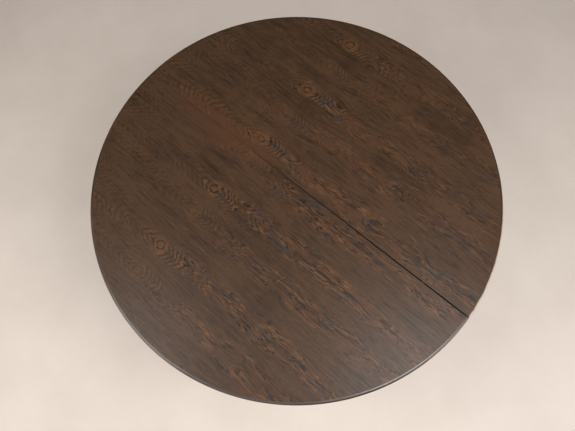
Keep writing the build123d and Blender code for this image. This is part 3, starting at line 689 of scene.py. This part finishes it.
# the band round the rim, as one smooth sweep, with its ends cut where the joint stands open
edgeBand = {
    "width": 0.008,
    "round": 0.0065,
    "roundSteps": 9,
    "chamfer": 0.0015,
    "turnSteps": 220,
    "creaseFrom": 30,     # degrees
}


def selectWhere(piece, wanted):
    bpy.ops.object.mode_set(mode="EDIT")
    bpy.ops.mesh.select_mode(type="VERT")
    bpy.ops.mesh.select_all(action="DESELECT")
    bpy.ops.object.mode_set(mode="OBJECT")
    for vertex in piece.data.vertices:
        vertex.select = wanted(vertex.co)
    bpy.ops.object.mode_set(mode="EDIT")


def cutAway(point, normal):
    bpy.ops.mesh.select_all(action="SELECT")
    bpy.ops.mesh.bisect(plane_co=point, plane_no=normal, clear_inner=True)


def makeEdgeBand(v, gap, side, material):
    start = 1 if side == "front" else -1      # the front band turns from +X, the back one from -X
    low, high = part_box(side + "_edge_band")[0][2], topHeight
    bpy.ops.object.select_all(action="DESELECT")
    bpy.ops.mesh.primitive_plane_add(size=1, rotation=(math.pi / 2, 0, 0),
                                     location=(start * (topRadius - v["width"] / 2), 0, (low + high) / 2))
    band = bpy.context.object
    band.name = side + "RimBand"
    band.scale = (v["width"], high - low, 1)
    bpy.ops.object.transform_apply(location=True, rotation=True, scale=True)
    nearly = 0.0001
    selectWhere(band, lambda c: abs(c.x) > topRadius - nearly and c.z > high - nearly)
    bpy.ops.mesh.bevel(offset=v["round"], segments=v["roundSteps"], affect="VERTICES")
    selectWhere(band, lambda c: abs(c.x) > topRadius - nearly and c.z < low + nearly)
    bpy.ops.mesh.bevel(offset=v["chamfer"], segments=1, affect="VERTICES")
    bpy.ops.mesh.select_all(action="SELECT")
    bpy.ops.mesh.delete(type="ONLY_FACE")
    bpy.ops.mesh.select_all(action="SELECT")
    bpy.ops.mesh.spin(steps=v["turnSteps"], angle=math.pi, center=(0, 0, 0), axis=(0, 0, 1))
    if side == "back":
        cutAway((0, gap["shut"], 0), (0, 1, 0))
        slope = (gap["open"] - gap["shut"]) / (topRadius - gap["opensAt"])
        cutAway((gap["opensAt"], gap["shut"], 0), (-slope, 1, 0))
    bpy.ops.mesh.select_all(action="SELECT")
    bpy.ops.mesh.remove_doubles(threshold=0.00001)
    bpy.ops.mesh.fill_holes(sides=0)
    bpy.ops.mesh.select_all(action="SELECT")
    bpy.ops.mesh.normals_make_consistent(inside=False)
    bpy.ops.object.mode_set(mode="OBJECT")
    bpy.ops.object.shade_smooth_by_angle(angle=math.radians(v["creaseFrom"]))
    band.data.materials.append(material)
    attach(band, side + "_half")
    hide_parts(side + "_edge_band")
    print(band.name, "made with", len(band.data.polygons), "faces")


apronRadius = 0.53
sheetWidth = 0.185    # of the backing veneer
staveWidth = 0.058    # the column is glued up from these

# pith is where the middle of the tree lies beside the board, and far off gives straight grain
for k, (side, rimLook) in enumerate((("front", frontRimLook), ("back", backRimLook))):
    rimWood = makeWood(side + "Rim", rimLook, wrapRadius=topRadius, pith=(0.64, 0.9), seed=4.0 + k,
                       jointShade=True)
    makeEdgeBand(edgeBand, jointGap, side, rimWood)
    dress(makeWood(side + "ApronWood", darkWoodLook, wrapRadius=apronRadius, pith=(0.6, 0.62), seed=11.0 + k),
          side + "_apron")
    dress(makeWood(side + "BackingVeneer", backingLook, boardWidth=sheetWidth, pith=(0.02, 0.9),
                   seed=17.0 + k), side + "_backing_veneer")

dress(makeWood("columnWood", darkWoodLook, axis=2, boardWidth=staveWidth, seed=2.0), "column")
dress(makeWood("capWood", darkWoodLook, axis=0, seed=5.0), "column_cap")
dress(makeWood("discWood", darkWoodLook, axis=1, seed=6.0), "base_disc")
for k, name in enumerate(("lower", "upper")):
    beam = "foot_beam_" + name
    dress(makeWood(name + "FootWood", darkWoodLook, axis=longestAxis(beam), seed=8.0 + k), beam)

beechParts = ["head_beam", "bearer_front", "bearer_back", "runner_left", "runner_right", "gear_bridge"]
for side in ("front", "back"):
    beechParts += [side + part for part in ("_rail_outer", "_rail_inner", "_rack_block", "_apron_blocks")]
for k, name in enumerate(beechParts):
    label = name.replace("_", " ").title().replace(" ", "") + "Beech"
    dress(makeWood(label, beechLook, axis=longestAxis(name), seed=20.0 + k * 1.3), name)
dress(makeWood("dowelBeech", beechLook, axis=2, seed=40.0), "column_dowels")
print("solid woods dressed")

boardLook = {
    "chipDark": (0.20, 0.12, 0.06, 1),
    "chipPale": (0.50, 0.37, 0.22, 1),
    "chipSize": 420.0,
    "flatness": 2.6,      # the chips lie flat
    "roughness": 0.85,
}


def makeBoard(v):
    material, t, shader, coords = newMaterial("chipBoard")
    chips = t.nodes.new("ShaderNodeTexVoronoi")
    chips.inputs["Scale"].default_value = v["chipSize"]
    t.links.new(scaled(t, coords, (1, 1, v["flatness"])), chips.inputs["Vector"])
    tint = splitXYZ(t, chips.outputs["Color"])[0]
    colour = mixColour(t, tint, v["chipDark"], v["chipPale"])
    gaps = remap(t, chips.outputs["Distance"], 0.45, 0.75, 0, 0.6)
    t.links.new(mixColour(t, gaps, colour, v["chipDark"]), shader.inputs["Base Color"])
    rough = remap(t, tint, 0, 1, v["roughness"] - 0.1, v["roughness"] + 0.1)
    t.links.new(rough, shader.inputs["Roughness"])
    bumped(t, shader, minus(t, tint, gaps), 0.4, 0.0003)
    return material


dress(makeBoard(boardLook), "front_core", "back_core")

metalLooks = {   # axis is the one that the tool marks run along
    "zincSteel": {
        "bright": (0.56, 0.565, 0.57, 1), "dull": (0.38, 0.375, 0.34, 1), "pit": (0.20, 0.19, 0.17, 1),
        "worn": (0.70, 0.70, 0.70, 1), "fineness": 2600.0, "axis": 0, "roughness": 0.36, "dust": 0.10},
    "milledAluminium": {
        "bright": (0.66, 0.66, 0.65, 1), "dull": (0.40, 0.39, 0.36, 1), "pit": (0.16, 0.15, 0.13, 1),
        "worn": (0.80, 0.80, 0.79, 1), "fineness": 1500.0, "axis": 1, "roughness": 0.34, "dust": 0.06},
    "turnedBrass": {
        "bright": (0.66, 0.46, 0.17, 1), "dull": (0.36, 0.23, 0.09, 1), "pit": (0.14, 0.09, 0.04, 1),
        "worn": (0.80, 0.62, 0.30, 1), "fineness": 3200.0, "axis": 2, "roughness": 0.28, "dust": 0.04},
}
metalParts = {
    "zincSteel": ["glide_screws", "tie_rod", "tie_rod_washers", "tie_rod_nuts", "bearer_bolts", "bearer_nuts",
                  "runner_screws", "bridge_screws", "pinion_spindle", "spindle_nut", "front_slide_screws",
                  "back_slide_screws", "lock_plates", "lock_pivots", "lock_plate_screws", "lock_lever_left",
                  "lock_lever_right", "lock_keepers", "keeper_screws"],
    "milledAluminium": ["front_rack", "back_rack", "pinion"],
    "turnedBrass": ["alignment_pins", "pin_bushes"],
}


def makeMetal(name, v):
    material, t, shader, coords = newMaterial(name)
    marks = placeGroup(t, brushedGroup, Vector=turnedTo(t, coords, v["axis"]), Fineness=v["fineness"])
    colour = mixColour(t, remap(t, marks["Smudge"], 0.35, 0.68), v["bright"], v["dull"])
    colour = mixColour(t, times(t, marks["Pits"], 0.35), colour, v["pit"])
    wear = placeGroup(t, edgeGroup, Vector=coords, Radius=0.0006, Amount=0.7)["Wear"]
    t.links.new(mixColour(t, wear, colour, v["worn"]), shader.inputs["Base Color"])
    dust = placeGroup(t, dustGroup, Vector=coords, Amount=v["dust"])["Dust"]
    shine = plus(t, timesPlus(t, marks["Smudge"], 0.22, v["roughness"] - 0.11), dust)
    t.links.new(timesPlus(t, marks["Lines"], 0.12, shine), shader.inputs["Roughness"])
    t.links.new(minus(t, 1.0, dust), shader.inputs["Metallic"])
    bumped(t, shader, minus(t, marks["Lines"], marks["Pits"]), 0.25, 0.00004)
    return material


for name, parts in metalParts.items():
    dress(makeMetal(name, metalLooks[name]), *parts)
print("board and metals dressed")

plasticLooks = {
    "knobPlastic": {
        "base": (0.012, 0.012, 0.013, 1), "scuff": (0.075, 0.073, 0.070, 1), "roughness": 0.46,
        "texture": 1400.0, "bump": 0.00008, "soil": 0.15},
    "glideNylon": {
        "base": (0.56, 0.52, 0.43, 1), "scuff": (0.30, 0.26, 0.20, 1), "roughness": 0.5,
        "texture": 900.0, "bump": 0.00005, "soil": 0.55},
}


def makePlastic(name, v):
    material, t, shader, coords = newMaterial(name)
    moulded = noise(t, coords, v["texture"], 2.0)
    rubbed = remap(t, stretched(t, coords, (60, 60, 240), 4.0, 0.7), 0.5, 0.7, 0, 1, True)
    wear = placeGroup(t, edgeGroup, Vector=coords, Radius=0.0008, Amount=0.6)["Wear"]
    scuffs = larger(t, times(t, rubbed, v["soil"]), times(t, wear, 0.5))
    t.links.new(mixColour(t, scuffs, v["base"], v["scuff"]), shader.inputs["Base Color"])
    rough = timesPlus(t, scuffs, 0.3, timesPlus(t, moulded, 0.1, v["roughness"] - 0.05))
    t.links.new(rough, shader.inputs["Roughness"])
    bumped(t, shader, moulded, 0.4, v["bump"])
    return material


dress(makePlastic("knobPlastic", plasticLooks["knobPlastic"]), "lock_knob_left", "lock_knob_right")
dress(makePlastic("glideNylon", plasticLooks["glideNylon"]), "foot_glides")
print("plastics dressed")

studio = {
    "floorSize": 14,
    "floorShade": (0.640, 0.552, 0.478, 1),
    "floorPale": (0.705, 0.618, 0.542, 1),
    "floorRoughness": 0.65,
    "lights": {   # watts, place, width and height, warmth
        "key": (27, (1.04, -0.03, 2.34), (0.8, 0.8), (1, 1, 1)),
        "side": (15, (-0.45, -1.08, 2.3), (0.75, 0.75), (1, 1, 1)),
        "fill": (16, (1.0, -2.6, 2.6), (2.2, 2.2), (1, 1, 1)),
        "rightWindow": (42, (3.3, 0.7, 1.15), (2.0, 1.1), (0.98, 0.97, 1.0)),
        "leftWindow": (44, (-1.0, -3.3, 1.15), (2.0, 1.1), (1.0, 0.97, 0.92)),
    },
    "lightsAimAt": (0, 0, 0.6),
    "skyFar": (0.30, 0.27, 0.25, 1),      # the dim side of the room, beyond the back half
    "skyNear": (0.88, 0.88, 0.90, 1),
    "skyStrength": 0.55,
}


def makeLight(name, power, place, size, colour, aim):
    data = bpy.data.lights.new(name, "AREA")
    data.shape = "RECTANGLE"
    data.energy = power
    data.size, data.size_y = size
    data.color = colour
    light = bpy.data.objects.new(name, data)
    bpy.context.collection.objects.link(light)
    light.visible_camera = False
    light.location = place
    light.rotation_euler = (Vector(aim) - Vector(place)).to_track_quat("-Z", "Y").to_euler()


def makeFloor(v):
    bpy.ops.mesh.primitive_plane_add(size=v["floorSize"], location=(0, 0, 0))
    floor = bpy.context.object
    floor.name = "studioFloor"
    material, t, shader, coords = newMaterial("paleFloor")
    mottle = remap(t, noise(t, coords, 2.6, 6.0, 0.62), 0.3, 0.7)
    t.links.new(mixColour(t, mottle, v["floorShade"], v["floorPale"]), shader.inputs["Base Color"])
    shader.inputs["Roughness"].default_value = v["floorRoughness"]
    floor.data.materials.append(material)


def makeWorld(v):
    world = bpy.data.worlds.new("softRoom")
    world.use_nodes = True
    t = world.node_tree
    background = t.nodes["Background"]
    x, y = splitXYZ(t, t.nodes.new("ShaderNodeTexCoord").outputs["Generated"])[:2]
    nearness = remap(t, minus(t, x, y), -0.95, 0.35, 0, 1, True)
    t.links.new(mixColour(t, nearness, v["skyFar"], v["skyNear"]), background.inputs[0])
    background.inputs[1].default_value = v["skyStrength"]
    bpy.context.scene.world = world


makeFloor(studio)
makeWorld(studio)
for name, values in studio["lights"].items():
    makeLight(name, *values, studio["lightsAimAt"])
bpy.context.scene.view_settings.view_transform = "Standard"
print("studio set")
